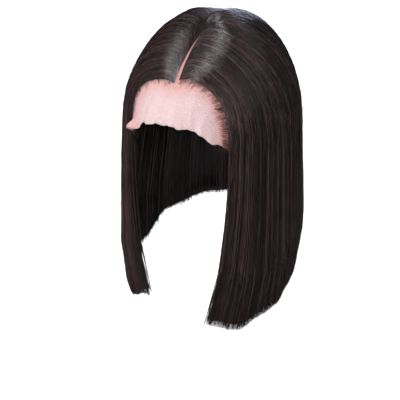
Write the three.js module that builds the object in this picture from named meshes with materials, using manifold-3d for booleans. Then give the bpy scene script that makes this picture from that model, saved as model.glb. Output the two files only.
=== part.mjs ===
// Lace front wig: a straight, blunt-cut bob with a centre part.
// A sheer lace panel across the forehead and a net cap behind it carry three falls of hair:
// one on each side of the part, knotted into the lace, and one at the back, sewn on in rows.
// Millimetres. +Z is up, the wearer faces -Y, and +X is the wearer's left.
// The origin is the inside top of the cap, where it sits on the crown of a head.
// Bearings are in degrees round the vertical from the front: 90 is the wearer's left, 180 the back.
import * as THREE from "three";
import { mergeVertices } from "three/addons/utils/BufferGeometryUtils.js";
import Module from "manifold-3d";

const wasm = await Module();
wasm.setup();

// Driving dimensions

// The head that the cap is cut for: a medium one, about 565 mm round.
const HEAD = { halfWidth: 78, halfLength: 101, domeHeight: 100, napeTuck: 1.3 };
const CAP_WALL = 1.2;
const HEAD_ROOM_Z = -190;
const GAP = 0.3;

// Lower edge of the cap: over the brow, down to a tab before each ear, over the ear and round the nape.
const CAP_EDGE = [
  { bearing: 0, z: -80 },
  { bearing: 20, z: -83 },
  { bearing: 36, z: -98 },
  { bearing: 52, z: -113 },
  { bearing: 66, z: -116 },
  { bearing: 84, z: -98 },
  { bearing: 104, z: -100 },
  { bearing: 126, z: -136 },
  { bearing: 150, z: -157 },
  { bearing: 180, z: -162 },
];

// The uncut lace edge is wavy, and curls forward in a small loose tab at the right temple.
const LACE_WAVE = { height: 1.3, pitch: 13, reach: 44 };
const LACE_LIFT = { height: 2.2, pitch: 24, share: 0.22 };
const LACE_TAB = { bearing: -38, halfWidth: 6, out: 7, forward: 6, share: 0.11 };

// Seam between the lace panel and the net cap, from ear to ear behind the crown.
const SEAM = { crownY: 15, earY: -3, earZ: -105 };

// Part, from the hairline to the crown, just left of the middle. The hair rises out of it in a groove that
// ends before the crown; the bearings of its end are those of the strands that leave the part there.
const PART = {
  frontX: 2,
  frontY: -80,
  crownX: 3,
  crownY: 25,
  frontHalfWidth: 1.8,
  crownHalfWidth: 1.5,
  groove: 8,
  grooveWidth: 5,
  grooveFades: 85,
  grooveEnds: 110,
};

// Outer form of the hair. Each strand arches from the part to its widest level, then falls to the hem.
const HAIR = {
  sideReach: 96.5,
  frontReach: 95,
  backReach: 112,
  widestZ: -116,
  arch: 0.87,
  rightArch: 0.96,
  lift: 11,
  liftShare: 0.3,
  edgeLift: 5.5,
  frontBearing: 38,
  crownBearing: 150,
  sweep: 2,
  sweepFrom: 90,
  rightSweep: 0.55,
  rightSweepFade: 22,
  flare: 9,
  tipTuck: 7,
  tipTuckFrom: 0.75,
  swingIn: 27,
  swingForward: 12,
  swingFade: 100,
};
const HEM = [
  { bearing: 38, z: -296 },
  { bearing: 56, z: -311 },
  { bearing: 66, z: -304.5 },
  { bearing: 80, z: -300 },
  { bearing: 90, z: -286 },
  { bearing: 100, z: -279 },
  { bearing: 120, z: -253 },
  { bearing: 150, z: -240 },
  { bearing: 180, z: -233 },
];

// How the hair stands higher on the right of the part than on the left; about a third of it shows.
const RIGHT_LIFT = [
  { bearing: 38, z: 0 },
  { bearing: 60, z: 9 },
  { bearing: 75, z: 19 },
  { bearing: 92, z: 25 },
  { bearing: 102, z: 24 },
  { bearing: 150, z: 0 },
  { bearing: 180, z: 0 },
];

// The hairline recedes at the temples: how far, where along the front strand it is most, and how far back
// it fades.
const RECEDE = { depth: 7.75, along: 0.53, outward: 1, fade: 75 };

// What the left side has more of than the middle and the right side less, fading out towards the back.
// The drop is at the front edge alone, and fades out by a bearing of its own.
const LEAN = { flare: -4, swingIn: -5, recede: -2.25, peak: -0.09, fade: 60, drop: 10, dropFade: 80 };

// Thickness of the hair from its outer form inwards, at its front edge and at its sides.
const HAIR_WALL = { edgeDome: 8, dome: 18, edgeHem: 5, hem: 7, edgeFade: 70 };

// Locks: strips crowned across their width, each lapping its neighbours, blunt-cut just past the hem.
// Depths are from the hair's outer form inwards: of the backing, and of a lock's edge, crown and underside.
const LOCK = {
  backing: 2.4,
  edge: 2.6,
  crown: 0,
  skirt: 5.5,
  lap: 0.14,
  crownFrom: 0.45,
  tipWidth: 0.72,
  tipCrown: 0.8,
};
const LOCK_SHAPES = [
  { width: 1.0, past: 1 },
  { width: 0.7, past: 4 },
  { width: 1.3, past: 2 },
  { width: 0.9, past: 5 },
  { width: 1.15, past: 3 },
  { width: 0.75, past: 0.5 },
  { width: 1.2, past: 3.5 },
];

// Where the hair is divided into falls, and the locks in each.
const SIDE_END = 115;
const FALLS = [
  { name: "hair_left", from: HAIR.frontBearing, to: SIDE_END, locks: 9 },
  { name: "hair_back", from: SIDE_END, to: 360 - SIDE_END, locks: 14 },
  { name: "hair_right", from: 360 - SIDE_END, to: 360 - HAIR.frontBearing, locks: 9 },
];
const FALL_GAP_DEG = 0.1;

// Rows along a strand: 0 at its root, 1 at its widest level, 2 at the hem.
const WALL_ROWS = [0, 0.07, 0.17, 0.34, 0.5, 0.66, 0.82, 1, 1.4, 1.72, 1.94];
const LOCK_ROWS = [0.03, 0.07, 0.17, 0.34, 0.5, 0.66, 0.82, 1, 1.45, 1.9];
const WALL_COLUMNS_PER_LOCK = 0.6;
const LOCK_ACROSS = [0, 0.32, 0.68, 1];
const LOCK_UNDER = [1, 0];

// Small helpers

const rad = THREE.MathUtils.degToRad;
const mix = THREE.MathUtils.lerp;
const ease = (share) => THREE.MathUtils.smoothstep(share, 0, 1);

// Reads z from a table of bearings, eased between its rows.
function edgeAt(table, turn) {
  const next = table.findIndex((row) => row.bearing >= turn);
  if (next <= 0) return table[0].z;
  const [low, high] = [table[next - 1], table[next]];
  return mix(low.z, high.z, ease((turn - low.bearing) / (high.bearing - low.bearing)));
}

// A closed solid from points and faces. Quads are cut in two and faces of no area are left out.
function solidFrom(points, faces) {
  const flat = faces.flatMap((f) => (f.length === 4 ? [f[0], f[1], f[2], f[0], f[2], f[3]] : f));
  const geometry = new THREE.BufferGeometry();
  geometry.setAttribute("position", new THREE.Float32BufferAttribute(points.flatMap((p) => p.toArray()), 3));
  geometry.setIndex(flat);
  return solidOf(geometry);
}

function solidOf(geometry) {
  geometry.deleteAttribute("normal");
  geometry.deleteAttribute("uv");
  const merged = mergeVertices(geometry, 1e-4);
  const vertProperties = new Float32Array(merged.attributes.position.array);
  const triVerts = new Uint32Array(merged.index.array);
  return new wasm.Manifold(new wasm.Mesh({ numProp: 3, vertProperties, triVerts }));
}

function meshFrom(name, solid, material) {
  const { vertProperties, triVerts } = solid.getMesh();
  const geometry = new THREE.BufferGeometry();
  geometry.setAttribute("position", new THREE.BufferAttribute(vertProperties, 3));
  geometry.setIndex(new THREE.BufferAttribute(triVerts, 1));
  geometry.computeVertexNormals();
  const mesh = new THREE.Mesh(geometry, material);
  mesh.name = name;
  return mesh;
}

// Faces of a tube of rings, each ring a closed loop of `count` points, wound to face out.
function ringFaces(rings, count) {
  const faces = [];
  for (let r = 0; r + 1 < rings; r++)
    for (let i = 0; i < count; i++) {
      const j = (i + 1) % count;
      faces.push([r * count + i, (r + 1) * count + i, (r + 1) * count + j, r * count + j]);
    }
  return faces;
}

// A closed solid through rings of points, each ring going out along one side of a strip and back along
// the other.
function loft(rings) {
  const count = rings[0].length;
  const last = (rings.length - 1) * count;
  const faces = ringFaces(rings.length, count);
  for (let i = 0, j = count - 1; i + 1 < j; i++, j--) {
    faces.push([i, i + 1, j - 1, j]);
    faces.push([last + j, last + j - 1, last + i + 1, last + i]);
  }
  return solidFrom(rings.flat(), faces);
}

// Head, cap and lace

// A point on the head's form, grown by `grow`. `run` is 0 at the crown, 1 at the widest level and more below.
const RUN_BELOW = (HEAD.domeHeight * Math.PI) / 2;
function headPoint(bearing, run, grow) {
  const below = Math.max(0, run - 1);
  const tilt = (Math.min(run, 1) * Math.PI) / 2;
  const ring = Math.sin(tilt) * (1 - HEAD.napeTuck * below * below);
  return new THREE.Vector3(
    (HEAD.halfWidth + grow) * ring * Math.sin(rad(bearing)),
    -(HEAD.halfLength + grow) * ring * Math.cos(rad(bearing)),
    -HEAD.domeHeight + (HEAD.domeHeight + grow) * Math.cos(tilt) - below * RUN_BELOW,
  );
}

function runAt(z) {
  const above = z + HEAD.domeHeight;
  return above > 0 ? Math.acos(above / HEAD.domeHeight) / (Math.PI / 2) : 1 - above / RUN_BELOW;
}

// A dome from the crown to an edge, as points: the crown first, then rings by run.
function domePoints(bearings, rows, place) {
  const points = [place(0, 0)];
  for (let row = 1; row <= rows; row++) points.push(...bearings.map((bearing) => place(bearing, row / rows)));
  return points;
}

function domeFaces(count, rows) {
  const fan = bearingsLoop(count).map(([i, j]) => [0, 1 + i, 1 + j]);
  const skirt = ringFaces(rows, count).map((face) => face.map((v) => v + 1));
  return [...fan, ...skirt];
}

const bearingsLoop = (count) => Array.from({ length: count }, (_, i) => [i, (i + 1) % count]);

const signedBearing = (bearing) => (bearing > 180 ? bearing - 360 : bearing);

function capEdgeZ(bearing) {
  const turn = Math.abs(signedBearing(bearing));
  const inLace = ease((LACE_WAVE.reach - turn) / LACE_WAVE.pitch);
  const wave = LACE_WAVE.height * Math.sin((2 * Math.PI * bearing) / LACE_WAVE.pitch);
  return edgeAt(CAP_EDGE, turn) + inLace * wave;
}

// How far the loose lace stands off the head near its edge.
function laceOffset(bearing, share) {
  const signed = signedBearing(bearing);
  const inLace = ease((LACE_WAVE.reach - Math.abs(signed)) / LACE_WAVE.pitch);
  const nearEdge = ease(1 - (1 - share) / LACE_LIFT.share);
  const swell = 0.5 + 0.5 * Math.sin((2 * Math.PI * signed) / LACE_LIFT.pitch);
  const off = LACE_LIFT.height * inLace * nearEdge * swell;
  const tabSpan = ease(1 - Math.abs(signed - LACE_TAB.bearing) / LACE_TAB.halfWidth);
  const tab = tabSpan * ease(1 - (1 - share) / LACE_TAB.share);
  return new THREE.Vector3(
    off * Math.sin(rad(signed)) - LACE_TAB.out * tab,
    -off * Math.cos(rad(signed)) - LACE_TAB.forward * tab,
    0,
  );
}

// Columns of the cap and its cutter, closer where the lace shows.
const CAP_GRID = { rows: 9, laceReach: 60, laceStep: 4, capStep: 10 };
function capBearings() {
  const { laceReach, laceStep, capStep } = CAP_GRID;
  const bearings = [];
  for (let b = -laceReach; b < laceReach; b += laceStep) bearings.push((b + 360) % 360);
  for (let b = laceReach; b < 360 - laceReach; b += capStep) bearings.push(b);
  return bearings;
}

function capSurface(bearings, grow) {
  return domePoints(bearings, CAP_GRID.rows, (bearing, share) =>
    headPoint(bearing, runAt(capEdgeZ(bearing)) * share, grow).add(laceOffset(bearing, share)),
  );
}

// Lace and cap are first made as one shell.
function capShell() {
  const bearings = capBearings();
  const outer = capSurface(bearings, CAP_WALL);
  const inner = capSurface(bearings, 0);
  const faces = domeFaces(bearings.length, CAP_GRID.rows);
  const inside = faces.map((face) => face.map((v) => v + outer.length).reverse());
  const rim = outer.length - bearings.length;
  const edge = bearingsLoop(bearings.length).map(([i, j]) => [
    rim + j,
    rim + i,
    rim + i + outer.length,
    rim + j + outer.length,
  ]);
  return solidFrom([...outer, ...inner], [...faces, ...inside, ...edge]);
}

// The room that hair keeps clear: the cap grown by a gap, and the space straight below its edge.
function headRoom(lowZ) {
  const bearings = capBearings();
  const count = bearings.length;
  const points = capSurface(bearings, CAP_WALL + GAP);
  points.push(...points.slice(-count).map((p) => new THREE.Vector3(p.x, p.y, lowZ)));
  const floor = points.push(new THREE.Vector3(0, 0, lowZ)) - 1;
  const faces = domeFaces(count, CAP_GRID.rows + 1);
  bearingsLoop(count).forEach(([i, j]) => faces.push([floor, floor - count + j, floor - count + i]));
  return solidFrom(points, faces);
}

// A block that holds everything behind the seam, moved back by `shift`.
function behindSeam(shift) {
  const size = 600;
  const block = new THREE.BoxGeometry(size, size, size);
  block.translate(0, size / 2 + shift, 0);
  block.rotateX(-Math.atan2(SEAM.crownY - SEAM.earY, -SEAM.earZ));
  block.translate(0, SEAM.crownY, 0);
  return solidOf(block);
}

// Hair

function recession(turn, along, lean) {
  const peak = RECEDE.along + LEAN.peak * lean;
  const toPeak = along < peak ? along / peak : (1 - along) / (1 - peak);
  const toFront = (RECEDE.fade - turn) / (RECEDE.fade - HAIR.frontBearing);
  return (RECEDE.depth + LEAN.recede * lean) * ease(toPeak) * ease(toFront);
}

// A point of the hair, `depth` inside its outer form, `along` its strand from root (0) to hem (2).
// Strands leave the part square to it on the left and swept back on the right; near the crown they turn back.
function hairPoint(bearing, along, depth) {
  const side = bearing > 180 ? -1 : 1;
  const turn = Math.min(bearing, 360 - bearing);
  const lean = side * ease((180 - turn) / LEAN.fade);
  const back = (turn - HAIR.frontBearing) / (HAIR.crownBearing - HAIR.frontBearing);
  const share = THREE.MathUtils.clamp(back, 0, 1);

  const halfPart = mix(PART.frontHalfWidth, PART.crownHalfWidth, share);
  const rootTurn = 90 * (1 + Math.max(0, (turn - HAIR.crownBearing) / (180 - HAIR.crownBearing)));
  const partX = mix(PART.frontX, PART.crownX, share);
  const partY = mix(PART.frontY, PART.crownY, share);
  const rootX = halfPart * Math.sin(rad(rootTurn));
  const rootY = partY - halfPart * Math.cos(rad(rootTurn));

  const reach = turn < 90 ? HAIR.frontReach : HAIR.backReach;
  const wideX = (HAIR.sideReach - depth) * Math.sin(rad(turn));
  const wideY = -(reach - depth) * Math.cos(rad(turn));

  const scalpZ = -HEAD.domeHeight * (1 - Math.sqrt(1 - (partY / HEAD.halfLength) ** 2));
  const liftShare = ease(share / HAIR.liftShare);
  const topZ = scalpZ + mix(HAIR.edgeLift, HAIR.lift, liftShare) - depth;
  const tilt = (Math.min(along, 1) * Math.PI) / 2;
  const onRight = Math.max(0, -lean) * liftShare;
  const arch = mix(HAIR.arch, HAIR.rightArch, onRight);
  const out = Math.sin(tilt) ** arch;
  const up = Math.max(0, Math.cos(tilt)) ** arch;
  const fromRoot = out * Math.hypot(wideX - rootX, wideY - rootY);
  const grooveLeft = ease((PART.grooveEnds - turn) / (PART.grooveEnds - PART.grooveFades));
  const grooveShare = Math.min(liftShare, grooveLeft);
  const groove = PART.groove * Math.exp(-fromRoot / PART.grooveWidth) * grooveShare;
  const rightLift = edgeAt(RIGHT_LIFT, turn) * Math.max(0, -lean) * out * up ** 4;
  const sweptBack = Math.max(0, -lean) * ease((turn - HAIR.frontBearing) / HAIR.rightSweepFade);
  const ownSweep = mix(HAIR.sweep, HAIR.rightSweep, sweptBack);
  const sweep = mix(ownSweep, 1, ease((turn - HAIR.sweepFrom) / (HAIR.crownBearing - HAIR.sweepFrom)));
  const recede = recession(turn, along, lean);
  const point = new THREE.Vector3(
    mix(rootX, wideX, out) + RECEDE.outward * recede,
    mix(rootY, wideY, out ** sweep) + recede,
    mix(HAIR.widestZ, topZ, up) + rightLift - groove,
  );

  const fall = Math.max(0, along - 1);
  const drop = LEAN.drop * lean * ease((LEAN.dropFade - turn) / (LEAN.dropFade - HAIR.frontBearing));
  const hemZ = edgeAt(HEM, turn) - drop;
  const tuck = HAIR.tipTuck * Math.max(0, (fall - HAIR.tipTuckFrom) / (1 - HAIR.tipTuckFrom)) ** 2;
  const spread = (HAIR.flare + LEAN.flare * lean) * fall - tuck;
  const front = THREE.MathUtils.clamp((HAIR.swingFade - turn) / (HAIR.swingFade - HAIR.frontBearing), 0, 1);
  const swing = front ** 2 * fall ** 1.7;
  point.x += spread * Math.sin(rad(turn)) - (HAIR.swingIn + LEAN.swingIn * lean) * swing;
  point.y -= spread * Math.cos(rad(turn)) * (1 - front) + HAIR.swingForward * swing;
  point.z += (hemZ - HAIR.widestZ) * fall;
  point.x = side * point.x + partX * (1 - out);
  return point;
}

function wallDepth(bearing, along) {
  const turn = Math.min(bearing, 360 - bearing);
  const inward = ease((turn - HAIR.frontBearing) / (HAIR_WALL.edgeFade - HAIR.frontBearing));
  const dome = mix(HAIR_WALL.edgeDome, HAIR_WALL.dome, inward);
  return mix(dome, mix(HAIR_WALL.edgeHem, HAIR_WALL.hem, inward), Math.max(0, along - 1));
}

// The backing of a fall: a plain wall of hair from its roots to just above the hem.
function hairWall(from, to, columns) {
  const bearings = Array.from({ length: columns + 1 }, (_, i) => mix(from, to, i / columns));
  const rings = WALL_ROWS.map((along) => [
    ...bearings.map((bearing) => hairPoint(bearing, along, LOCK.backing)),
    ...bearings.toReversed().map((bearing) => hairPoint(bearing, along, wallDepth(bearing, along))),
  ]);
  return loft(rings);
}

// One lock: a crowned strip that lies on the backing and narrows a little where it is cut past the hem.
function hairLock(from, to, past) {
  const middle = (from + to) / 2;
  const section = (along, width, crown) => {
    const at = (across) => mix(middle, mix(from, to, across), width);
    const outer = LOCK_ACROSS.map((across) =>
      hairPoint(at(across), along, mix(LOCK.edge, crown, Math.sin(Math.PI * across))),
    );
    const under = LOCK_UNDER.map((across) => hairPoint(at(across), along, LOCK.skirt));
    return [...outer, ...under];
  };
  const hemLength = HAIR.widestZ - edgeAt(HEM, Math.min(middle, 360 - middle));
  const rings = LOCK_ROWS.map((along) =>
    section(along, 1, mix(LOCK.edge, LOCK.crown, Math.min(1, along / LOCK.crownFrom))),
  );
  rings.push(section(2 + past / hemLength, LOCK.tipWidth, LOCK.tipCrown));
  return loft(rings);
}

// A fall of hair: locks fused to their backing, cut to sit on the cap.
function hairFall({ from, to, locks }, room) {
  const [start, end] = [from + FALL_GAP_DEG, to - FALL_GAP_DEG];
  const shapes = Array.from({ length: locks }, (_, i) => LOCK_SHAPES[i % LOCK_SHAPES.length]);
  const unit = (end - start) / shapes.reduce((sum, shape) => sum + shape.width, 0);
  const lap = unit * LOCK.lap;
  let fall = hairWall(start + lap, end - lap, Math.round(locks * WALL_COLUMNS_PER_LOCK));
  let edge = start;
  for (const { width, past } of shapes) {
    const next = edge + width * unit;
    fall = fall.add(hairLock(Math.max(start, edge - lap), Math.min(end, next + lap), past));
    edge = next;
  }
  return fall.subtract(room);
}

// Assembly

const hairFinish = new THREE.MeshStandardMaterial({ color: 0x1d1513, roughness: 0.42, metalness: 0 });
const laceFinish = new THREE.MeshStandardMaterial({ color: 0xe9c9bb, roughness: 0.8, metalness: 0 });
const netFinish = new THREE.MeshStandardMaterial({ color: 0x17110f, roughness: 0.85, metalness: 0 });

const wig = new THREE.Group();
const shell = capShell();
wig.add(meshFrom("lace_front", shell.subtract(behindSeam(-GAP / 2)), laceFinish));
wig.add(meshFrom("net_cap", shell.intersect(behindSeam(GAP / 2)), netFinish));
const room = headRoom(HEAD_ROOM_Z);
for (const fall of FALLS) wig.add(meshFrom(fall.name, hairFall(fall, room), hairFinish));

export default wig;
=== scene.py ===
import math

import bmesh
import bpy
import numpy as np
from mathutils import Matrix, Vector


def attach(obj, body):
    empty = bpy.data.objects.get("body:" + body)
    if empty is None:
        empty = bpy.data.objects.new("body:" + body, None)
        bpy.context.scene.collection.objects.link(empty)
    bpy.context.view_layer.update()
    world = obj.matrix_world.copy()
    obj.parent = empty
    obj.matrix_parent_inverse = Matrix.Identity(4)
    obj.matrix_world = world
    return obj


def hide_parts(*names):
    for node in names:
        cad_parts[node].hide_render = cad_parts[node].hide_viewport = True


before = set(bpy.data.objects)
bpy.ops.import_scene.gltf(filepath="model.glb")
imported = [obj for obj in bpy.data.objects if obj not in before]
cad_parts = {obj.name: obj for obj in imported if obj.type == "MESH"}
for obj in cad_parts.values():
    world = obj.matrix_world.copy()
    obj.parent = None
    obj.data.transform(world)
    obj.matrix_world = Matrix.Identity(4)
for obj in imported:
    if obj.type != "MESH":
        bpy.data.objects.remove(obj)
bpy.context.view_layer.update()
scene = bpy.context.scene


# Camera
# A long lens from above and from the wig's left side, aimed a little below the wig's middle so that
# the wig stands high in the frame.
CAMERA_AZIMUTH = math.radians(27.5)
CAMERA_ELEVATION = math.radians(24)
CAMERA_DISTANCE = 1.7
CAMERA_LENS = 140.8
CAMERA_SENSOR = 36
WIG_MIDDLE = Vector((0, 0, -0.15))
AIM_SHIFT_RIGHT = -0.012
AIM_SHIFT_UP = -0.0478

view_right = Vector((math.cos(CAMERA_AZIMUTH), math.sin(CAMERA_AZIMUTH), 0))
view_back = Vector((
    math.sin(CAMERA_AZIMUTH) * math.cos(CAMERA_ELEVATION),
    -math.cos(CAMERA_AZIMUTH) * math.cos(CAMERA_ELEVATION),
    math.sin(CAMERA_ELEVATION),
))
view_up = view_back.cross(view_right)

camera_data = bpy.data.cameras.new("camera")
camera_data.lens = CAMERA_LENS
camera_data.sensor_width = CAMERA_SENSOR
camera = bpy.data.objects.new("camera", camera_data)
scene.collection.objects.link(camera)
aim = WIG_MIDDLE + view_right * AIM_SHIFT_RIGHT + view_up * AIM_SHIFT_UP
camera.location = aim + view_back * CAMERA_DISTANCE
camera.rotation_euler = view_back.to_track_quat("Z", "Y").to_euler()
scene.camera = camera


# Lace front
# A panel of sheer pink-beige hand-tied lace, stretched over the front of the cap's dome as far as the crown.
# Its uncut front edge is slightly wavy, lifts in soft wrinkles and curls out at the right temple.
CAP_HALF_WIDTH = 0.078
CAP_HALF_LENGTH = 0.101
DOME_HEIGHT = 0.100
NAPE_TUCK = 1.3
# The cap's edge: bearing in degrees from the front, and height.
CAP_EDGE = [
    (0, -0.080), (20, -0.083), (36, -0.098), (52, -0.113), (66, -0.116),
    (84, -0.098), (104, -0.100), (126, -0.136), (150, -0.157), (180, -0.162),
]
SEAM_CROWN_Y = 0.015
SEAM_SLOPE = 0.018 / 0.105
SEAM_HALF_GAP = 0.0002
SEAM_STEPS = 400
LACE_GROW = 0.0006
LACE_THICKNESS = 0.0003
LACE_ROWS = 46
LACE_COLUMNS = 220
LACE_ROW_SPACING = 0.85
WELD_DISTANCE = 0.000001
LACE_COLOUR = (0.56, 0.42, 0.41, 1)
LACE_HOLE = 0.0007
LACE_THREAD = 0.3
LACE_OPEN = 0.32
# The hairline, where the knots of the hair begin and redden the lace. The darker, redder tint is partly the
# knots and partly painted shade of the hair on the lace, spread widest at the right temple.
HAIRLINE_Y = -0.080
TEMPLE_Y = -0.075
LEFT_TEMPLE = 39.6
RIGHT_TEMPLE = 55.8
LEFT_RECEDES = 0.0055
RIGHT_RECEDES = 0.010
KNOT_AND_SHADE_COLOUR = (0.52, 0.255, 0.23, 1)
KNOT_SHADE_FADE = 0.014
LEFT_KNOT_SHADE_SPREAD = -0.3
RIGHT_KNOT_SHADE_SPREAD = 0.9
# Waves of the uncut edge: height, turn of the wave in each degree of bearing, and its start.
EDGE_WAVES = [(0.0009, 360 / 13, 0), (0.0004, 67, 40)]
EDGE_END = 44
EDGE_FADE = 13
# Wrinkles of the loose lace behind the edge.
LOOSE_END = 46
LOOSE_BAND = 0.22
LOOSE_HEIGHT = 0.0022
SWELL_DEGREES = 24
WRINKLE_DEGREES = 7.5
WRINKLE_SHARE = 0.35
WRINKLE_SLANT = 300
SLACK_HEIGHT = 0.0003
SLACK_RATE = 31
SLACK_SLANT = 700
SLACK_FROM = 0.5
SLACK_FADE = 0.4
# The tab that curls out, and how far its corner moves.
TAB_BEARING = -38
TAB_HALF_WIDTH = 6
TAB_BAND = 0.09
TAB_CURL = (-0.007, -0.006, 0.002)


def eased(share):
    share = np.clip(share, 0, 1)
    return share * share * (3 - 2 * share)


# Heights from a table of bearings in degrees, eased from row to row.
def read_table(table, turn):
    turns, heights = np.array(table).T
    after = np.clip(np.searchsorted(turns, turn), 1, len(turns) - 1)
    share = eased((turn - turns[after - 1]) / (turns[after] - turns[after - 1]))
    return heights[after - 1] + (heights[after] - heights[after - 1]) * share


# Points on the cap's form, grown outwards. `run` is 0 at the crown, 1 at the widest level and more below.
def cap_point(bearing, run, grow):
    below = np.maximum(0, run - 1)
    tilt = np.minimum(run, 1) * math.pi / 2
    ring = np.sin(tilt) * (1 - NAPE_TUCK * below**2)
    turn = np.radians(bearing)
    x = (CAP_HALF_WIDTH + grow) * ring * np.sin(turn)
    y = -(CAP_HALF_LENGTH + grow) * ring * np.cos(turn)
    z = -DOME_HEIGHT + (DOME_HEIGHT + grow) * np.cos(tilt) - below * DOME_HEIGHT * math.pi / 2
    return np.stack(np.broadcast_arrays(x, y, z), axis=-1)


# The run at which the cap's form reaches a height.
def run_at(z):
    above = z + DOME_HEIGHT
    upper = np.arccos(np.clip(above / DOME_HEIGHT, 0, 1)) / (math.pi / 2)
    return np.where(above > 0, upper, 1 - above / (DOME_HEIGHT * math.pi / 2))


# The run at which each bearing crosses the seam plane, moved back by `shift`, or the edge if it never does.
def seam_run(bearing, edge, shift):
    runs = np.linspace(0, 1, SEAM_STEPS)[:, None] * edge
    points = cap_point(bearing, runs, LACE_GROW)
    behind = points[..., 1] - (SEAM_CROWN_Y + shift + points[..., 2] * SEAM_SLOPE) > 0
    first = np.argmax(behind, axis=0)
    crossing = np.take_along_axis(runs, first[None, :], axis=0)[0]
    return np.where(behind.any(axis=0), crossing, edge)


# How far the hairline recedes at the temples. `turn` is in degrees from the top of the cap to its sides.
def recession(turn):
    side = np.abs(turn)
    temple = np.where(turn > 0, LEFT_TEMPLE, RIGHT_TEMPLE)
    to_temple = np.where(side < temple, side / temple, (90 - side) / (90 - temple))
    return np.where(turn > 0, LEFT_RECEDES, RIGHT_RECEDES) * eased(to_temple)


def hairline_y(turn):
    return HAIRLINE_Y + (TEMPLE_Y - HAIRLINE_Y) * np.sin(np.radians(turn)) ** 2 + recession(turn)


# Height of the lace's uncut edge, which waves a little at the front.
def lace_edge_z(bearing):
    turn = np.abs(bearing)
    waves = sum(height * np.sin(np.radians(bearing * rate + start)) for height, rate, start in EDGE_WAVES)
    return read_table(CAP_EDGE, turn) + eased((EDGE_END - turn) / EDGE_FADE) * waves


# Loose lace stands off the cap's form near the edge, in soft wrinkles, and curls out in a tab.
def lace_lift(bearing, share):
    in_lace = eased((LOOSE_END - np.abs(bearing)) / EDGE_FADE)
    near_edge = eased(1 - (1 - share) / LOOSE_BAND)
    swell = 0.5 + 0.5 * np.sin(np.radians(bearing * 360 / SWELL_DEGREES))
    wrinkle = WRINKLE_SHARE * np.sin(np.radians(bearing * 360 / WRINKLE_DEGREES + WRINKLE_SLANT * share))
    slack = SLACK_HEIGHT * np.sin(np.radians(bearing * SLACK_RATE + SLACK_SLANT * share))
    slack = slack * eased((share - SLACK_FROM) / SLACK_FADE)
    off = in_lace * (LOOSE_HEIGHT * near_edge * np.maximum(0, swell + wrinkle * near_edge) + slack)
    tab = eased(1 - np.abs(bearing - TAB_BEARING) / TAB_HALF_WIDTH) * eased(1 - (1 - share) / TAB_BAND)
    turn = np.radians(bearing)
    outwards = np.stack([off * np.sin(turn), -off * np.cos(turn), np.zeros_like(off)], axis=-1)
    return outwards + tab[..., None] * np.array(TAB_CURL)


# A mesh of quads through rows of points. `uv` gives each point's place on the flat piece.
def grid_mesh(name, points, uv):
    rows, columns = points.shape[:2]
    index = np.arange(rows * columns).reshape(rows, columns)
    quads = np.stack([index[:-1, :-1], index[1:, :-1], index[1:, 1:], index[:-1, 1:]], axis=-1).reshape(-1, 4)
    mesh = bpy.data.meshes.new(name)
    mesh.from_pydata(points.reshape(-1, 3).tolist(), [], quads.tolist())
    layer = mesh.uv_layers.new(name="flat")
    corners = np.empty(len(mesh.loops), dtype=np.int32)
    mesh.loops.foreach_get("vertex_index", corners)
    layer.data.foreach_set("uv", uv.reshape(-1, 2)[corners].ravel())
    mesh.polygons.foreach_set("use_smooth", np.ones(len(mesh.polygons), dtype=bool))
    return mesh


# Joins the doubled points of a closed column or a pole.
def weld(mesh):
    shape = bmesh.new()
    shape.from_mesh(mesh)
    bmesh.ops.remove_doubles(shape, verts=shape.verts, dist=WELD_DISTANCE)
    bmesh.ops.dissolve_degenerate(shape, edges=shape.edges, dist=WELD_DISTANCE)
    shape.to_mesh(mesh)
    shape.free()


def add_piece(name, mesh, material):
    piece = bpy.data.objects.new(name, mesh)
    scene.collection.objects.link(piece)
    mesh.materials.append(material)
    return piece


def thicken(piece, thickness):
    wall = piece.modifiers.new("thickness", "SOLIDIFY")
    wall.thickness = thickness
    wall.offset = 0


# Adds a node to a tree: keywords set its properties, and `inputs` gives values or links for its sockets.
def add_node(tree, kind, inputs=None, **properties):
    node = tree.nodes.new(kind)
    for name, value in properties.items():
        setattr(node, name, value)
    for key, value in (inputs or {}).items():
        if isinstance(value, bpy.types.NodeSocket):
            tree.links.new(value, node.inputs[key])
        else:
            node.inputs[key].default_value = value
    return node


def new_material(name):
    material = bpy.data.materials.new(name)
    material.use_nodes = True
    shader = material.node_tree.nodes["Principled BSDF"]
    return material, material.node_tree, shader


# A net of rounded holes: the mask is 1 on the threads and falls to the open share inside a hole.
def net_group():
    tree = bpy.data.node_groups.new("net", "ShaderNodeTree")
    for name, value in (("Hole", 0.001), ("Thread", 0.2), ("Open", 0.5)):
        socket = tree.interface.new_socket(name, in_out="INPUT", socket_type="NodeSocketFloat")
        socket.default_value = value
    tree.interface.new_socket("Mask", in_out="OUTPUT", socket_type="NodeSocketFloat")
    into = tree.nodes.new("NodeGroupInput")
    out = tree.nodes.new("NodeGroupOutput")
    place = tree.nodes.new("ShaderNodeTexCoord")
    per_metre = add_node(tree, "ShaderNodeMath", {0: 1.0, 1: into.outputs["Hole"]}, operation="DIVIDE")
    cells = add_node(
        tree, "ShaderNodeTexVoronoi",
        {"Vector": place.outputs["Object"], "Scale": per_metre.outputs[0]},
        feature="DISTANCE_TO_EDGE",
    )
    mask = add_node(
        tree, "ShaderNodeMapRange",
        {0: cells.outputs["Distance"], 1: 0.0, 2: into.outputs["Thread"], 3: 1.0, 4: into.outputs["Open"]},
        interpolation_type="SMOOTHSTEP",
    )
    tree.links.new(mask.outputs[0], out.inputs["Mask"])
    return tree


net = net_group()


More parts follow.
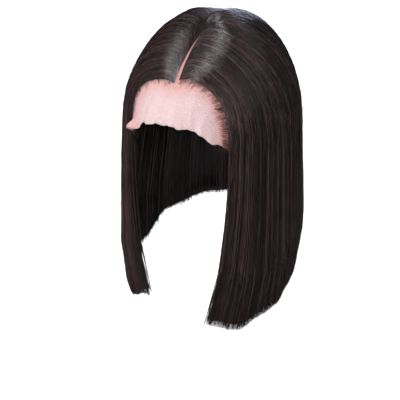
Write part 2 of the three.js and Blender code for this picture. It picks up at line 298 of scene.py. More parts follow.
def lace_material():
    material, tree, shader = new_material("lace")
    # The lace is mixed towards a darker, redder tint near and under the hairline: the knots, plus painted
    # shade of the hair.
    knots_and_shade = add_node(tree, "ShaderNodeAttribute", attribute_name="knots_and_shade")
    colour = add_node(
        tree, "ShaderNodeMix", {0: knots_and_shade.outputs["Fac"], 6: LACE_COLOUR, 7: KNOT_AND_SHADE_COLOUR}, data_type="RGBA",
    )
    threads = add_node(
        tree, "ShaderNodeGroup", {"Hole": LACE_HOLE, "Thread": LACE_THREAD, "Open": LACE_OPEN}, node_tree=net,
    )
    bump = add_node(
        tree, "ShaderNodeBump", {"Strength": 0.25, "Distance": 0.0002, "Height": threads.outputs["Mask"]},
    )
    tree.links.new(colour.outputs[2], shader.inputs["Base Color"])
    tree.links.new(threads.outputs["Mask"], shader.inputs["Alpha"])
    tree.links.new(bump.outputs["Normal"], shader.inputs["Normal"])
    shader.inputs["Roughness"].default_value = 0.7
    shader.inputs["Specular IOR Level"].default_value = 0.25
    shader.inputs["Sheen Weight"].default_value = 0.2
    return material


bearings = np.linspace(-180, 180, LACE_COLUMNS + 1)[None, :]
lace_edge = run_at(lace_edge_z(bearings))
lace_end = seam_run(bearings[0], lace_edge[0], -SEAM_HALF_GAP)[None, :]
shares = np.linspace(0, 1, LACE_ROWS + 1)[:, None] ** LACE_ROW_SPACING
lace_runs = shares * lace_end
lace_points = cap_point(bearings, lace_runs, LACE_GROW) + lace_lift(bearings, lace_runs / lace_edge)
lace_turn = np.radians(bearings)
lace_uv = np.stack([np.sin(lace_turn) * lace_runs, -np.cos(lace_turn) * lace_runs], axis=-1)
lace_mesh = grid_mesh("lace_front_net", lace_points, lace_uv)
lace_front = add_piece("lace_front_net", lace_mesh, lace_material())
weld(lace_mesh)
lace_places = np.array([vertex.co for vertex in lace_mesh.vertices])
lace_turns = np.degrees(np.arctan2(lace_places[:, 0] / CAP_HALF_WIDTH, lace_places[:, 2] / DOME_HEIGHT + 1))
# The band of the tint is widened at the right temple and narrowed at the left: painted shade of the hair
# falling on the lace, over the real knots.
knot_shade_spread = np.where(lace_turns < 0, RIGHT_KNOT_SHADE_SPREAD, LEFT_KNOT_SHADE_SPREAD)
knot_shade_fade = KNOT_SHADE_FADE * (1 + knot_shade_spread * np.sin(np.radians(lace_turns)) ** 2)
knots_and_shade = eased(1 - (hairline_y(lace_turns) - lace_places[:, 1]) / knot_shade_fade)
lace_mesh.attributes.new("knots_and_shade", "FLOAT", "POINT").data.foreach_set("value", knots_and_shade)
thicken(lace_front, LACE_THICKNESS)
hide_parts("lace_front")
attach(lace_front, "root")


# Net cap
# The back of the cap, of matt black stretch net, from the seam behind the crown to the nape.
# The rows of hair at the back are sewn onto it.
NET_ROWS = 40
NET_COLUMNS = 160
NET_FIRST_BEARING = 60
NET_LEAST_RUN = 0.0001
NET_THICKNESS = 0.0005
NET_COLOUR = (0.012, 0.009, 0.008, 1)
# The holes are painted darker than the threads: painted shade of the inside of the cap seen through them.
NET_HOLE_SHADE_COLOUR = (0.004, 0.003, 0.003, 1)
NET_HOLE = 0.0016
NET_THREAD = 0.3
NET_OPEN = 0.2


def net_material():
    material, tree, shader = new_material("cap net")
    threads = add_node(
        tree, "ShaderNodeGroup", {"Hole": NET_HOLE, "Thread": NET_THREAD, "Open": NET_OPEN}, node_tree=net,
    )
    bump = add_node(
        tree, "ShaderNodeBump", {"Strength": 0.6, "Distance": 0.0004, "Height": threads.outputs["Mask"]},
    )
    # Painted shade in the holes: the colour falls to the darker hole colour where the net is open.
    colour = add_node(
        tree, "ShaderNodeMix", {0: threads.outputs["Mask"], 6: NET_HOLE_SHADE_COLOUR, 7: NET_COLOUR},
        data_type="RGBA",
    )
    tree.links.new(colour.outputs[2], shader.inputs["Base Color"])
    tree.links.new(bump.outputs["Normal"], shader.inputs["Normal"])
    shader.inputs["Roughness"].default_value = 0.8
    return material


net_bearings = np.linspace(NET_FIRST_BEARING, 360 - NET_FIRST_BEARING, NET_COLUMNS + 1)
net_edge = run_at(read_table(CAP_EDGE, np.minimum(net_bearings, 360 - net_bearings)))
net_start = seam_run(net_bearings, net_edge, SEAM_HALF_GAP)
behind_seam = net_start < net_edge - NET_LEAST_RUN
net_bearings = net_bearings[behind_seam]
net_shares = np.linspace(0, 1, NET_ROWS + 1)[:, None]
net_runs = net_start[behind_seam] + net_shares * (net_edge - net_start)[behind_seam]
net_points = cap_point(net_bearings[None, :], net_runs, LACE_GROW)
net_uv = np.stack(np.broadcast_arrays(net_bearings[None, :] / 360, net_runs), axis=-1)
net_cap = add_piece("net_cap_back", grid_mesh("net_cap_back", net_points, net_uv), net_material())
thicken(net_cap, NET_THICKNESS)
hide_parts("net_cap")
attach(net_cap, "root")


# Hair
# Straight, blunt-cut, brown-black hair, knotted into the lace beside the part and sewn in rows onto the net.
# Each strand leaves the part, arches over to its widest level and falls to the hem. Left, right and back
# falls each have a dark backing and layers of combed strands.
FRONT_BEARING = 38
CROWN_BEARING = 150
SIDE_END = 115
WIDEST_Z = -0.116
SIDE_REACH = 0.0965
FRONT_REACH = 0.095
BACK_REACH = 0.112
ARCH = 0.87
RIGHT_ARCH = 0.96
FRONT_LIFT = 0.0055
TOP_LIFT = 0.011
FRONT_LIFT_SHARE = 0.3
# The hem: bearing in degrees from the front, and height.
HEM = [
    (38, -0.296), (56, -0.311), (66, -0.3045), (80, -0.300), (90, -0.286),
    (100, -0.279), (120, -0.253), (150, -0.240), (180, -0.233),
]
# The part, half its width at the front and at the crown, and the groove that it lies in.
PART_FRONT_X = 0.002
PART_CROWN_X = 0.003
PART_CROWN_Y = 0.025
PART_FRONT_HALF = 0.002
PART_CROWN_HALF = -0.001
PART_GROOVE = 0.008
FRONT_GROOVE_SHARE = 0.5
GROOVE_WIDTH = 0.005
GROOVE_FADES = 85
GROOVE_ENDS = 110
# How the strands sweep back over the dome, flare and tuck under on the way down, and swing in at the front.
SWEEP = 2
SWEEP_FROM = 90
RIGHT_SWEEP = 0.55
RIGHT_SWEEP_FADE = 22
FLARE = 0.009
TIP_TUCK = 0.007
TIP_TUCK_FROM = 0.75
SWING_IN = 0.027
SWING_FORWARD = 0.012
SWING_FADE = 100
SWING_CURVE = 1.7
RECEDES_FADE = 75
# The right side's extra fullness near the part: bearing in degrees from the front, and height.
RIGHT_LIFT = [
    (38, 0), (60, 0.009), (75, 0.019), (92, 0.025), (102, 0.024), (150, 0), (180, 0),
]
RIGHT_LIFT_CURVE = 4
# How the two sides differ, which fades out at the back.
LEAN_FADE = 60
LEAN_FLARE = -0.004
LEAN_SWING_IN = -0.005
LEAN_DROP = 0.010
DROP_FADE = 80
# Thickness of a fall at its front edge and from where it is whole, on the dome and at the hem.
WALL_WHOLE = 70
FRONT_WALL_DOME = 0.008
WALL_DOME = 0.018
FRONT_WALL_HEM = 0.005
WALL_HEM = 0.007
# Room over the cap, how hair closes over the part at the crown, and how the front edge rolls down.
CAP_CLEAR = 0.0016
LEAST_WALL = 0.001
LEAST_RING = 0.2
LEAST_REACH = 0.05
CROWN_CLOSED = 0.9
CROWN_CLOSED_ALONG = 0.25
ROLL_DEGREES = 9
ROLL_LEAST = 0.15
ROLL_FROM = 0.7
ROLL_FADE = 0.5
FORM_ROWS = 48
FORM_END = 2.02


def mixed(low, high, share):
    return low + (high - low) * share


# The part is open from the hairline to near the crown, where hair closes over it.
def part_open(degrees):
    return eased((GROOVE_ENDS - degrees) / (GROOVE_ENDS - GROOVE_FADES))


# Points of the hair, `depth` inside its outer form. `along` is 0 at the part, 1 at the widest level and 2 at
# the hem. `lean` is 1 on the left and -1 on the right, where the two sides differ, and fades out at the back.
def hair_form(bearing, along, depth):
    side = np.where(bearing > 180, -1, 1)
    degrees = np.minimum(bearing, 360 - bearing)
    turn = np.radians(degrees)
    lean = side * eased((180 - degrees) / LEAN_FADE)
    share = np.clip((degrees - FRONT_BEARING) / (CROWN_BEARING - FRONT_BEARING), 0, 1)
    half_part = mixed(PART_FRONT_HALF, PART_CROWN_HALF, share)
    root_turn = np.radians(90 + 90 * np.maximum(0, (degrees - CROWN_BEARING) / (180 - CROWN_BEARING)))
    part_x = mixed(PART_FRONT_X, PART_CROWN_X, share)
    part_y = mixed(HAIRLINE_Y, PART_CROWN_Y, share)
    root_x = half_part * np.sin(root_turn)
    root_y = part_y - half_part * np.cos(root_turn)
    reach = np.where(degrees < 90, FRONT_REACH, BACK_REACH)
    wide_x = (SIDE_REACH - depth) * np.sin(turn)
    wide_y = -(reach - depth) * np.cos(turn)
    cap_z = -DOME_HEIGHT * (1 - np.sqrt(1 - (part_y / CAP_HALF_LENGTH) ** 2))
    lift_share = eased(share / FRONT_LIFT_SHARE)
    top_z = cap_z + mixed(FRONT_LIFT, TOP_LIFT, lift_share) - depth
    tilt = np.minimum(along, 1) * math.pi / 2
    on_right = np.maximum(0, -lean) * lift_share
    arch = mixed(ARCH, RIGHT_ARCH, on_right)
    out = np.sin(tilt) ** arch
    up = np.maximum(0, np.cos(tilt)) ** arch
    from_root = out * np.hypot(wide_x - root_x, wide_y - root_y)
    groove_share = np.minimum(mixed(FRONT_GROOVE_SHARE, 1, lift_share), part_open(degrees))
    groove = PART_GROOVE * np.exp(-from_root / GROOVE_WIDTH) * groove_share
    fall = np.maximum(0, along - 1)
    drop = LEAN_DROP * lean * eased((DROP_FADE - degrees) / (DROP_FADE - FRONT_BEARING))
    hem_z = read_table(HEM, degrees) - drop
    tuck = TIP_TUCK * np.maximum(0, (fall - TIP_TUCK_FROM) / (1 - TIP_TUCK_FROM)) ** 2
    spread = (FLARE + LEAN_FLARE * lean) * fall - tuck
    front = np.clip((SWING_FADE - degrees) / (SWING_FADE - FRONT_BEARING), 0, 1)
    swing = front**2 * fall**SWING_CURVE
    swept_back = np.maximum(0, -lean) * eased((degrees - FRONT_BEARING) / RIGHT_SWEEP_FADE)
    own_sweep = mixed(SWEEP, RIGHT_SWEEP, swept_back)
    sweep = mixed(own_sweep, 1, eased((degrees - SWEEP_FROM) / (CROWN_BEARING - SWEEP_FROM)))
    toward_front = eased((RECEDES_FADE - degrees) / (RECEDES_FADE - FRONT_BEARING))
    recede = recession(side * np.minimum(along, 1) * 90) * toward_front
    x = mixed(root_x, wide_x, out) + recede
    y = mixed(root_y, wide_y, out**sweep) + recede
    right_lift = read_table(RIGHT_LIFT, degrees) * np.maximum(0, -lean) * out * up**RIGHT_LIFT_CURVE
    z = mixed(WIDEST_Z, top_z, up) + right_lift - groove + (hem_z - WIDEST_Z) * fall
    x = x + spread * np.sin(turn) - (SWING_IN + LEAN_SWING_IN * lean) * swing
    y = y - spread * np.cos(turn) * (1 - front) - SWING_FORWARD * swing
    return np.stack(np.broadcast_arrays(side * x + part_x * (1 - out), y, z), axis=-1)


# Thickness of a fall, which is thinner at its front edge and at the hem.
def wall_depth(bearing, along):
    degrees = np.minimum(bearing, 360 - bearing)
    inward = eased((degrees - FRONT_BEARING) / (WALL_WHOLE - FRONT_BEARING))
    dome = mixed(FRONT_WALL_DOME, WALL_DOME, inward)
    hem = mixed(FRONT_WALL_HEM, WALL_HEM, inward)
    return mixed(dome, hem, np.maximum(0, along - 1))


# Moves points that would be inside the cap out to its surface, grown by `grow`.
def outside_cap(points, grow):
    half = np.array([CAP_HALF_WIDTH, CAP_HALF_LENGTH, DOME_HEIGHT]) + grow
    centre = np.array([0, 0, -DOME_HEIGHT])
    below = np.maximum(0, -DOME_HEIGHT - points[..., 2]) / (DOME_HEIGHT * math.pi / 2)
    ring = np.maximum(LEAST_RING, 1 - NAPE_TUCK * below**2)
    offset = points - centre
    flat = np.hypot(offset[..., 0] / half[0], offset[..., 1] / half[1]) / ring
    height = np.maximum(0, offset[..., 2]) / half[2]
    grown = 1 / np.clip(np.hypot(flat, height), LEAST_REACH, 1)
    moved = offset * np.stack([grown, grown, np.where(offset[..., 2] > 0, grown, 1)], axis=-1)
    return moved + centre


# Outer and inner surfaces of a fall. The front edge rolls down onto the lace over the dome.
def hair_walls(bearing, along):
    inner = outside_cap(hair_form(bearing, along, wall_depth(bearing, along)), CAP_CLEAR)
    outer = outside_cap(hair_form(bearing, along, 0), CAP_CLEAR + LEAST_WALL)
    degrees = np.minimum(bearing, 360 - bearing)
    closed = CROWN_CLOSED * (1 - part_open(degrees)) * eased(1 - along / CROWN_CLOSED_ALONG)
    inner = mixed(inner, outer, closed[..., None])
    unrolled = mixed(ROLL_LEAST, 1, eased((along - ROLL_FROM) / ROLL_FADE))
    roll = mixed(eased((degrees - FRONT_BEARING) / ROLL_DEGREES), 1, unrolled)
    return mixed(inner, outer, roll[..., None]), inner


def store_way_in(mesh, way_in):
    inward = mesh.attributes.new("inward", "FLOAT_VECTOR", "POINT")
    inward.data.foreach_set("vector", way_in.ravel())


# The form that strands are combed over: its outer surface, with the way in to the inner one at each point.
def comb_form(name, start, end, columns):
    across, down = np.meshgrid(np.linspace(0, 1, columns + 1), np.linspace(0, 1, FORM_ROWS + 1))
    outer, inner = hair_walls(mixed(start, end, across), down * FORM_END)
    mesh = grid_mesh(name, outer, np.stack([across, down], axis=-1))
    store_way_in(mesh, inner - outer)
    return mesh


# How strands differ from each other: steps between the seeds of their habits, waves across and along a fall,
# lengths, pace down the fall, depth in it, width and tone.
HABIT_SEED = 71
LOCK_SEED = 143
WAVES_ACROSS = 14.0
WAVES_OWN = 0.7
WAVES_ALONG = 4.0
FORM_MARGIN = 0.001
LOCK_RAGGED = 0.004
LEAST_PACE = 1.5
MOST_PACE = 2.5
SHIFT_WHOLE = 0.04
SHIFT_GONE = 0.22
DEPTH_BIAS = 1.3
LOCK_DEPTH = 0.07
RIPPLES_ACROSS = 0.3
RIPPLES_DOWN = 9.0
RISE_LENGTH = 0.13
FINE_WIDTH = 0.7
COARSE_WIDTH = 1.25
TIP_WIDTH = 0.35
TIP_CURVE = 8.0
LOCK_TONE = 0.17
STRAND_SIDES = 3


# Strands combed over a form. Each has its own place across, depth, root, length and tone, gathers towards the
# middle of its lock on the way down, and wanders a little.
def strands_tree():
    tree = bpy.data.node_groups.new("combed_strands", "GeometryNodeTree")
    tree.interface.new_socket("Form", in_out="INPUT", socket_type="NodeSocketGeometry")
    sockets = {
        "Strands": ("NodeSocketInt", 1000), "Points": ("NodeSocketInt", 16), "Seed": ("NodeSocketInt", 1),
        "Outermost": ("NodeSocketFloat", 0.0), "Innermost": ("NodeSocketFloat", 0.3),
        "Root Spread": ("NodeSocketFloat", 0.02), "Root Bias": ("NodeSocketFloat", 2.0),
        "Ragged": ("NodeSocketFloat", 0.03), "Root Shift": ("NodeSocketFloat", 0.0),
        "Thin Edge": ("NodeSocketFloat", 1.0), "Ripple": ("NodeSocketFloat", 0.06),
        "Locks": ("NodeSocketFloat", 40.0), "Gather": ("NodeSocketFloat", 0.5),
        "Wander": ("NodeSocketFloat", 0.03), "Stray": ("NodeSocketFloat", 0.01),
        "Width": ("NodeSocketFloat", 0.0003), "Finish": ("NodeSocketMaterial", None),
    }
    for name, (kind, value) in sockets.items():
        socket = tree.interface.new_socket(name, in_out="INPUT", socket_type=kind)
        if value is not None:
            socket.default_value = value
    tree.interface.new_socket("Strands", in_out="OUTPUT", socket_type="NodeSocketGeometry")
    into = tree.nodes.new("NodeGroupInput").outputs
    out = tree.nodes.new("NodeGroupOutput")

    def maths(operation, first, second=0.0):
        return add_node(tree, "ShaderNodeMath", {0: first, 1: second}, operation=operation).outputs[0]

    def blend(low, high, share):
        return add_node(tree, "ShaderNodeMix", {0: share, 2: low, 3: high}, data_type="FLOAT").outputs[0]

    def dice(seed, number):
        random = add_node(
            tree, "FunctionNodeRandomValue", {"ID": number, "Seed": seed}, data_type="FLOAT_VECTOR",
        )
        return add_node(tree, "ShaderNodeSeparateXYZ", {0: random.outputs[0]}).outputs

    def noise(across, down):
        at = add_node(tree, "ShaderNodeCombineXYZ", {0: across, 1: down, 2: into["Seed"]}).outputs[0]
        return add_node(tree, "ShaderNodeTexNoise", {"Vector": at, "Scale": 1.0, "Detail": 1.0}).outputs[0]

    def stored(name):
        return add_node(
            tree, "GeometryNodeInputNamedAttribute", {"Name": name}, data_type="FLOAT_VECTOR",
        ).outputs[0]

    line = add_node(tree, "GeometryNodeCurvePrimitiveLine")
    resampled = add_node(
        tree, "GeometryNodeResampleCurve", {"Curve": line.outputs[0], "Count": into["Points"]},
    )
    copies = add_node(
        tree, "GeometryNodeDuplicateElements",
        {"Geometry": resampled.outputs[0], "Amount": into["Strands"]}, domain="SPLINE",
    )
    number = copies.outputs["Duplicate Index"]
    along = tree.nodes.new("GeometryNodeSplineParameter").outputs["Factor"]
    place = dice(into["Seed"], number)
    habit = dice(maths("ADD", into["Seed"], HABIT_SEED), number)
    start = maths("POWER", place["X"], into["Thin Edge"])
    lock = maths("FLOOR", maths("MULTIPLY", start, into["Locks"]))
    lock_habit = dice(maths("ADD", into["Seed"], LOCK_SEED), lock)

    lock_middle = maths("DIVIDE", maths("ADD", lock, 0.5), into["Locks"])
    gather = maths("MULTIPLY", into["Gather"], maths("POWER", along, 2.0))
    own_wave = maths("MULTIPLY", habit["X"], WAVES_OWN)
    wave_across = maths("ADD", maths("MULTIPLY", start, WAVES_ACROSS), own_wave)
    waves = noise(wave_across, maths("MULTIPLY", along, WAVES_ALONG))
    wave = maths("MULTIPLY", maths("SUBTRACT", waves, 0.5), into["Wander"])
    stray = maths("MULTIPLY", maths("SUBTRACT", habit["Z"], 0.5), into["Stray"])
    sideways = maths("MULTIPLY", maths("ADD", wave, stray), along)
    across = maths("ADD", blend(start, lock_middle, gather), sideways)
    across = maths("MINIMUM", maths("MAXIMUM", across, FORM_MARGIN), 1 - FORM_MARGIN)

    root = maths("MULTIPLY", into["Root Spread"], maths("POWER", place["Z"], into["Root Bias"]))
    ragged = maths("MULTIPLY", into["Ragged"], maths("POWER", habit["X"], 2.0))
    lock_ragged = maths("MULTIPLY", lock_habit["X"], LOCK_RAGGED)
    tip = maths("SUBTRACT", maths("SUBTRACT", 1 - FORM_MARGIN, ragged), lock_ragged)
    pace = blend(LEAST_PACE, MOST_PACE, habit["Z"])
    down = blend(root, tip, maths("POWER", along, pace))
    near_root = add_node(
        tree, "ShaderNodeMapRange", {0: down, 1: SHIFT_WHOLE, 2: SHIFT_GONE, 3: 1.0, 4: 0.0},
        interpolation_type="SMOOTHSTEP",
    )
    across = blend(across, 1.0, maths("MULTIPLY", near_root.outputs[0], into["Root Shift"]))

    depth = blend(into["Outermost"], into["Innermost"], maths("POWER", place["Y"], DEPTH_BIAS))
    depth = maths("ADD", depth, maths("MULTIPLY", lock_habit["Y"], LOCK_DEPTH))
    ripple_across = maths("MULTIPLY", start, maths("MULTIPLY", into["Locks"], RIPPLES_ACROSS))
    ripples = noise(ripple_across, maths("MULTIPLY", down, RIPPLES_DOWN))
    depth = maths("ADD", depth, maths("MULTIPLY", ripples, into["Ripple"]))
    rise = add_node(tree, "ShaderNodeMapRange", {0: along, 1: 0.0, 2: RISE_LENGTH, 3: 0.0, 4: 1.0})
    depth = blend(1.0, depth, rise.outputs[0])

    flat_place = add_node(tree, "ShaderNodeCombineXYZ", {0: across, 1: down}).outputs[0]
    flat_map = stored("flat")
    position = tree.nodes.new("GeometryNodeInputPosition").outputs[0]

    def sampled(value):
        return add_node(
            tree, "GeometryNodeSampleUVSurface",
            {"Mesh": into["Form"], "Value": value, "UV Map": flat_map, "Sample UV": flat_place},
            data_type="FLOAT_VECTOR",
        ).outputs[0]

    surface = sampled(position)
    way_in = add_node(
        tree, "ShaderNodeVectorMath", {0: sampled(stored("inward")), "Scale": depth}, operation="SCALE",
    )
    combed = add_node(tree, "ShaderNodeVectorMath", {0: surface, 1: way_in.outputs[0]}, operation="ADD")
    placed = add_node(
        tree, "GeometryNodeSetPosition",
        {"Geometry": copies.outputs["Geometry"], "Position": combed.outputs[0]},
    )

    thinning = blend(1.0, TIP_WIDTH, maths("POWER", along, TIP_CURVE))
    varied = maths("MULTIPLY", blend(FINE_WIDTH, COARSE_WIDTH, habit["Y"]), thinning)
    tone = blend(habit["Y"], lock_habit["Z"], LOCK_TONE)
    toned = add_node(
        tree, "GeometryNodeStoreNamedAttribute",
        {"Geometry": placed.outputs[0], "Name": "tone", "Value": tone}, data_type="FLOAT", domain="POINT",
    )
    profile = add_node(tree, "GeometryNodeCurvePrimitiveCircle", {"Resolution": STRAND_SIDES, "Radius": 1.0})
    tubes = add_node(
        tree, "GeometryNodeCurveToMesh",
        {
            "Curve": toned.outputs[0], "Profile Curve": profile.outputs[0],
            "Scale": maths("MULTIPLY", varied, into["Width"]), "Fill Caps": True,
        },
    )
    smooth = add_node(tree, "GeometryNodeSetShadeSmooth", {"Geometry": tubes.outputs[0]})
    realized = add_node(tree, "GeometryNodeRealizeInstances", {"Geometry": smooth.outputs[0]})
    finished = add_node(
        tree, "GeometryNodeSetMaterial", {"Geometry": realized.outputs[0], "Material": into["Finish"]},
    )
    tree.links.new(finished.outputs[0], out.inputs[0])
    return tree


# Colours of strands from the darkest tone to the lightest, and how rough the two are.
HAIR_TONES = [
    (0.1, (0.0042, 0.0028, 0.0028, 1)),
    (0.62, (0.0125, 0.0070, 0.0066, 1)),
    (0.96, (0.075, 0.041, 0.037, 1)),
]
DARK_ROUGHNESS = 0.12
LIGHT_ROUGHNESS = 0.26


def hair_material():
    material, tree, shader = new_material("hair")
    tone = add_node(tree, "ShaderNodeAttribute", attribute_name="tone").outputs["Fac"]
    ramp = add_node(tree, "ShaderNodeValToRGB", {0: tone})
    stops = ramp.color_ramp.elements
    stops.new(HAIR_TONES[1][0])
    for stop, (position, colour) in zip(stops, HAIR_TONES):
        stop.position = position
        stop.color = colour
    gloss = add_node(tree, "ShaderNodeMapRange", {0: tone, 3: DARK_ROUGHNESS, 4: LIGHT_ROUGHNESS})
    tree.links.new(ramp.outputs[0], shader.inputs["Base Color"])
    tree.links.new(gloss.outputs[0], shader.inputs["Roughness"])
    shader.inputs["Specular IOR Level"].default_value = 0.9
    return material


strands = strands_tree()
hair = hair_material()


# Runs the strands tree on a form and keeps the result as a plain mesh piece.
def comb(name, form, **sizes):
    guide = bpy.data.objects.new(name + "_form", form)
    scene.collection.objects.link(guide)
    modifier = guide.modifiers.new("strands", "NODES")
    modifier.node_group = strands
    for socket in strands.interface.items_tree:
        if socket.in_out == "INPUT" and socket.name in sizes:
            modifier[socket.identifier] = sizes[socket.name]
    evaluated = guide.evaluated_get(bpy.context.evaluated_depsgraph_get())
    mesh = bpy.data.meshes.new_from_object(evaluated)
    mesh.name = name
    bpy.data.objects.remove(guide)
    piece = bpy.data.objects.new(name, mesh)
    scene.collection.objects.link(piece)
    return piece


# The backing's first and last rows, its front edge at the dome and lower down, and its depth in the fall.
BACKING_ROWS = 40
BACKING_START = 0.03
BACKING_END = 1.978
BACKING_EDGE_DOME = 0.1
BACKING_EDGE = 0.015
BACKING_EDGE_FROM = 0.15
BACKING_EDGE_FADE = 0.6
BACKING_ROOT_DEPTH = 0.9
BACKING_DEPTH = 0.5
BACKING_RISE = 0.3
BACKING_INSIDE = 0.96


# The backing of a fall: a closed wall of dark hair between its outer and inner surfaces.
def backing(name, start, end, columns):
    rows = np.linspace(BACKING_START, BACKING_END, BACKING_ROWS + 1)
    across, along = np.meshgrid(np.linspace(0, 1, columns + 1), rows)
    edge = mixed(BACKING_EDGE_DOME, BACKING_EDGE, eased((along - BACKING_EDGE_FROM) / BACKING_EDGE_FADE))
    across = mixed(edge, 1, across)
    outer, inner = hair_walls(mixed(start, end, across), along)
    depth = mixed(BACKING_ROOT_DEPTH, BACKING_DEPTH, eased(along / BACKING_RISE))
    outside = mixed(outer, inner, depth[..., None])
    inside = mixed(outer, inner, BACKING_INSIDE)
    uv = np.stack([across, along / 2], axis=-1)
    ring = np.concatenate([outside, inside[:, ::-1], outside[:, :1]], axis=1)
    ring_uv = np.concatenate([uv, uv[:, ::-1], uv[:, :1]], axis=1)
    mesh = grid_mesh(name, ring, ring_uv)
    weld(mesh)
    shape = bmesh.new()
    shape.from_mesh(mesh)
    bmesh.ops.holes_fill(shape, edges=[rim for rim in shape.edges if rim.is_boundary])
    bmesh.ops.recalc_face_normals(shape, faces=shape.faces)
    shape.to_mesh(mesh)
    shape.free()
    return add_piece(name, mesh, hair)


# Steps from the seed of a fall's outer strands to those of its under strands and flyaways.
UNDER_SEED = 300
FLYAWAY_SEED = 600
# Each fall: node, first and last bearing, columns of its form, how its strands thin out towards its first
# edge, how far their roots are drawn back from it, and seed.
FALLS = [
    ("hair_left", FRONT_BEARING, SIDE_END, 40, 0.93, 0.06, 11),
    ("hair_back", SIDE_END, 360 - SIDE_END, 64, 1.0, 0.0, 12),
    ("hair_right", 360 - FRONT_BEARING, 360 - SIDE_END, 40, 0.93, 0.02, 13),
]
for node, start, end, columns, thin_edge, root_shift, seed in FALLS:
    form = comb_form(node + "_form", start, end, columns)
    outer = comb(
        node + "_outer", form, Strands=2600, Points=13, Seed=seed, Outermost=0.0, Innermost=0.3,
        Ragged=0.016, Locks=columns * 1.4, Gather=0.16, Wander=0.04, Stray=0.016, Width=0.00023, Finish=hair,
        **{"Thin Edge": thin_edge, "Root Shift": root_shift},
    )
    under = comb(
        node + "_under", form, Strands=900, Points=12, Seed=seed + UNDER_SEED, Outermost=1.0, Innermost=0.25,
        Ragged=0.016, Locks=columns * 1.2, Gather=0.1, Wander=0.05, Stray=0.03, Width=0.0003, Finish=hair,
        **{"Root Spread": 0.3, "Thin Edge": thin_edge, "Root Shift": root_shift},
    )
    flyaway = comb(
        node + "_flyaways", form, Strands=60, Points=12, Seed=seed + FLYAWAY_SEED, Outermost=-0.09,
        Innermost=-0.01, Ragged=0.3, Locks=columns * 2.0, Gather=0.0, Wander=0.16, Stray=0.12,
        Width=0.00009, Finish=hair, **{"Root Spread": 0.3},
    )
    wall = backing(node + "_backing", start, end, columns)
    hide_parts(node)
    for piece in (outer, under, flyaway, wall):
        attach(piece, "root")


# Hairline
# Short fine hairs tied one by one into the lace along the front edge, combed back into the side falls,
# so that the hair begins softly.
HAIRLINE_LEFT_AHEAD = 0.009
HAIRLINE_RIGHT_AHEAD = 0.0117
HAIRLINE_BEHIND = 0.018
HAIRLINE_PART = 2.4
HAIRLINE_PART_HALF = 1.5
HAIRLINE_TURN = 94
HAIRLINE_SWEEP = 0.2
HAIRLINE_SWEEP_CURVE = 1.5
HAIRLINE_COLUMNS = 48
HAIRLINE_ROWS = 12
HAIRLINE_LIFT = 0.0045
HAIRLINE_SINK = 0.0004


# The form of one side's short hairs, from the part down. `side` is 1 on the left and -1 on the right.
def hairline_form(name, side, ahead):
    across, share = np.meshgrid(np.linspace(0, 1, HAIRLINE_COLUMNS + 1), np.linspace(0, 1, HAIRLINE_ROWS + 1))
    degrees = mixed(HAIRLINE_PART + side * HAIRLINE_PART_HALF, side * HAIRLINE_TURN, across)
    swept = np.radians(degrees) + side * HAIRLINE_SWEEP * share**HAIRLINE_SWEEP_CURVE
    y = hairline_y(degrees) + mixed(-ahead, HAIRLINE_BEHIND, share)
    ring = np.sqrt(1 - (y / CAP_HALF_LENGTH) ** 2)

    def lifted(grow):
        x = (CAP_HALF_WIDTH + grow) * ring * np.sin(swept)
        z = -DOME_HEIGHT + (DOME_HEIGHT + grow) * ring * np.cos(swept)
        return np.stack([x, y, z], axis=-1)

    outer = lifted(CAP_CLEAR + HAIRLINE_LIFT * eased(share))
    inner = lifted(CAP_CLEAR - HAIRLINE_SINK)
    mesh = grid_mesh(name, outer, np.stack([across, share], axis=-1))
    store_way_in(mesh, inner - outer)
    return mesh


# Each side: name, side, how far its hairs start ahead of the hairline, and seed.
HAIRLINES = [
    ("hairline_left", 1, HAIRLINE_LEFT_AHEAD, 29),
    ("hairline_right", -1, HAIRLINE_RIGHT_AHEAD, 30),
]
for name, side, ahead, seed in HAIRLINES:
    hairline = comb(
        name, hairline_form(name + "_form", side, ahead), Strands=1400, Points=6, Seed=seed,
        Outermost=0.0, Innermost=0.5, Ragged=0.3, Locks=60.0, Gather=0.0, Wander=0.16, Stray=0.12,
        Width=0.00009, Finish=hair, **{"Root Spread": 0.67, "Root Bias": 0.5},
    )
    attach(hairline, "root")


# Floor and light
# A plain white floor well below the hem, a soft white surround, and soft lamps above, in front and behind.
FLOOR_Z = -0.45
FLOOR_HALF = 6
FLOOR_COLOUR = (0.9, 0.9, 0.9, 1)
FLOOR_GLOW = 0.57
SKY_LIGHT = 0.12
SKY_SEEN = 1.0
OVERHEAD_POWER = 0.35
OVERHEAD_SPREAD = math.radians(70)
OVERHEAD_TILT = math.radians(25)

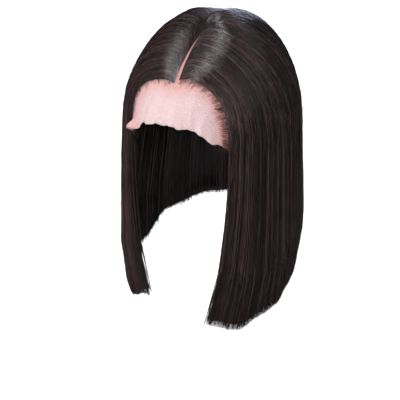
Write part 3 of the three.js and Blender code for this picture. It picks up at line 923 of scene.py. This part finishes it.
floor_mesh = bpy.data.meshes.new("floor")
corners = [(-1, -1), (1, -1), (1, 1), (-1, 1)]
floor_mesh.from_pydata([(x * FLOOR_HALF, y * FLOOR_HALF, FLOOR_Z) for x, y in corners], [], [(0, 1, 2, 3)])
floor_material, _, floor_shader = new_material("floor")
floor_shader.inputs["Base Color"].default_value = FLOOR_COLOUR
floor_shader.inputs["Roughness"].default_value = 0.9
floor_shader.inputs["Emission Color"].default_value = (1, 1, 1, 1)
floor_shader.inputs["Emission Strength"].default_value = FLOOR_GLOW
floor_shader.inputs["Specular IOR Level"].default_value = 0.1
floor = add_piece("floor", floor_mesh, floor_material)
floor.visible_glossy = False

world = bpy.data.worlds.new("studio")
world.use_nodes = True
scene.world = world
sky = world.node_tree.nodes["Background"]
sky.inputs["Color"].default_value = (1, 1, 1, 1)
seen = add_node(world.node_tree, "ShaderNodeLightPath").outputs["Is Camera Ray"]
strength = add_node(world.node_tree, "ShaderNodeMapRange", {0: seen, 3: SKY_LIGHT, 4: SKY_SEEN})
world.node_tree.links.new(strength.outputs[0], sky.inputs["Strength"])

overhead = bpy.data.lights.new("overhead", "SUN")
overhead.energy = OVERHEAD_POWER
overhead.angle = OVERHEAD_SPREAD
overhead_lamp = bpy.data.objects.new("overhead", overhead)
overhead_lamp.rotation_euler = (OVERHEAD_TILT, 0, 0)
scene.collection.objects.link(overhead_lamp)

# Each lamp: name, place, width, power, colour.
LAMPS = [
    ("key", (-0.06, -1.2, 1.35), 0.6, 41, (0.97, 0.955, 1)),
    ("side", (-1.1, -0.9, 0.85), 0.6, 10, (0.96, 0.95, 1)),
    ("fill", (1.0, -1.4, 0.3), 1.0, 7, (1, 0.97, 0.95)),
    ("rim", (-0.7, 1.4, 0.2), 1.2, 18, (0.72, 0.78, 1)),
]
for name, place, width, power, colour in LAMPS:
    lamp_data = bpy.data.lights.new(name, "AREA")
    lamp_data.color = colour
    lamp_data.size = width
    lamp_data.energy = power
    lamp = bpy.data.objects.new(name, lamp_data)
    lamp.location = place
    lamp.rotation_euler = (Vector(place) - WIG_MIDDLE).to_track_quat("Z", "Y").to_euler()
    scene.collection.objects.link(lamp)

scene.view_settings.view_transform = "Standard"
